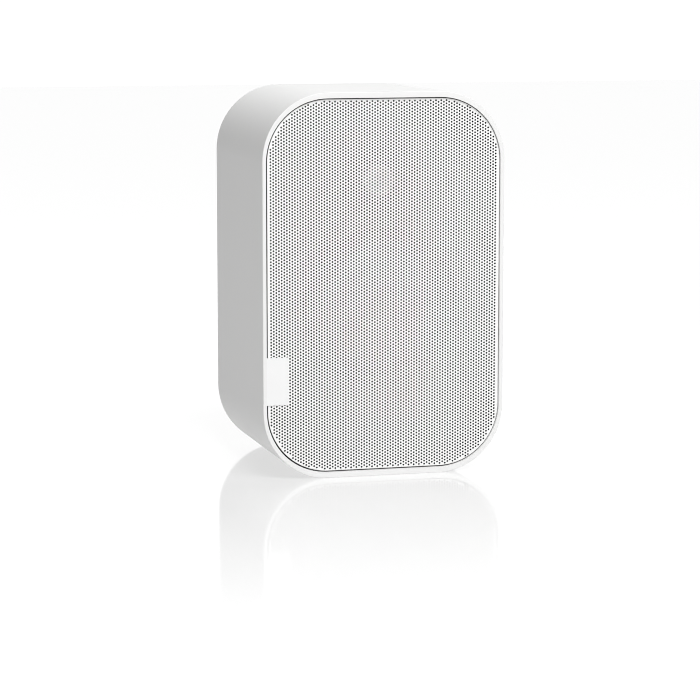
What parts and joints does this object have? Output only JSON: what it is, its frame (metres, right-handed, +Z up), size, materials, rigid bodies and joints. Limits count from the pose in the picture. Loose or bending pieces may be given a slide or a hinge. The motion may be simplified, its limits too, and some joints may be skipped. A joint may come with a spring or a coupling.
{
  "type": "loudspeaker",
  "caption": "Two-way box loudspeaker with rounded corners, a perforated metal front grille and a rear terminal cup.",
  "frame": {"origin": "middle of the underside", "axes": "+Z up, the grille faces -Y, +X to the right of someone facing the grille"},
  "size_m": [0.162, 0.142, 0.25],
  "materials": {
    "cabinet_white": "fine satin moulding",
    "grille_white": "satin powder coat",
    "label_white": "satin",
    "baffle_grey": "fine grain",
    "black_foam": "matt",
    "black_steel": "satin",
    "zinc_steel": "zinc plated",
    "ferrite": "ground",
    "roll_rubber": "matt",
    "cone_paper": "pressed pulp",
    "spider_cloth": "resin-stiffened weave",
    "dome_silk": "coated silk",
    "former_foil": "rolled",
    "copper_wire": "enamelled copper",
    "black_plastic": "fine grain",
    "red_plastic": "moulded",
    "gilt_brass": "gilt plated",
    "raw_brass": "turned",
    "board_resin": "lacquered",
    "bobbin_nylon": "moulded",
    "film_yellow": "wrapped",
    "film_blue": "sleeved",
    "resistor_clay": "fired"
  },
  "bodies": {
    "root": {"cabinet": "cabinet_white", "baffle": "baffle_grey", "baffle_gasket": "black_foam", "baffle_screws": "black_steel", "grille": "grille_white", "label_plate": "label_white", "woofer_basket": "black_steel", "woofer_trim_ring": "black_foam", "woofer_surround": "roll_rubber", "woofer_spider": "spider_cloth", "woofer_top_plate": "zinc_steel", "woofer_magnet": "ferrite", "woofer_back_plate": "zinc_steel", "woofer_screws": "black_steel", "tweeter_face_plate": "black_plastic", "tweeter_surround": "roll_rubber", "tweeter_top_plate": "zinc_steel", "tweeter_magnet": "ferrite", "tweeter_back_plate": "zinc_steel", "tweeter_screws": "black_steel", "crossover_board": "board_resin", "board_screws": "zinc_steel", "woofer_inductor_bobbin": "bobbin_nylon", "woofer_inductor_winding": "copper_wire", "tweeter_inductor_bobbin": "bobbin_nylon", "tweeter_inductor_winding": "copper_wire", "tweeter_capacitor": "film_yellow", "woofer_capacitor": "film_blue", "crossover_resistor": "resistor_clay", "terminal_cup": "black_plastic", "terminal_screws": "black_steel", "red_post_stud": "gilt_brass", "black_post_stud": "gilt_brass", "post_nuts": "gilt_brass", "bracket_inserts": "raw_brass"},
    "woofer_moving": {"woofer_cone": "cone_paper", "woofer_dust_cap": "cone_paper", "coil_former": "former_foil", "coil_winding": "copper_wire"},
    "tweeter_moving": {"tweeter_dome": "dome_silk", "tweeter_coil": "copper_wire"},
    "red_washer": {"red_post_washer": "gilt_brass"},
    "red_knob": {"red_post_knob": "red_plastic"},
    "black_washer": {"black_post_washer": "gilt_brass"},
    "black_knob": {"black_post_knob": "black_plastic"}
  },
  "joints": [
    {"name": "woofer_travel", "type": "slide", "parent": "root", "child": "woofer_moving", "axis": [0, -1, 0], "range_m": [-0.003, 0.003], "stiffness_N_per_m": 1200, "deforming": ["woofer_surround", "woofer_spider"]},
    {"name": "tweeter_travel", "type": "slide", "parent": "root", "child": "tweeter_moving", "axis": [0, -1, 0], "range_m": [-0.0003, 0.0003], "stiffness_N_per_m": 2000, "deforming": ["tweeter_surround"]},
    {"name": "red_clamp", "type": "slide", "parent": "root", "child": "red_washer", "axis": [0, 1, 0], "range_m": [0, 0.00275]},
    {"name": "red_turn", "type": "hinge", "parent": "red_washer", "child": "red_knob", "pos_m": [0.0095, 0.06, 0.047], "axis": [0, 1, 0], "range_deg": [0, 990]},
    {"name": "black_clamp", "type": "slide", "parent": "root", "child": "black_washer", "axis": [0, 1, 0], "range_m": [0, 0.00275]},
    {"name": "black_turn", "type": "hinge", "parent": "black_washer", "child": "black_knob", "pos_m": [-0.0095, 0.06, 0.047], "axis": [0, 1, 0], "range_deg": [0, 990]}
  ],
  "couplings": [
    {"joint": "red_turn", "follows": "red_clamp", "rad_per_m": 6283.2},
    {"joint": "black_turn", "follows": "black_clamp", "rad_per_m": 6283.2}
  ]
}
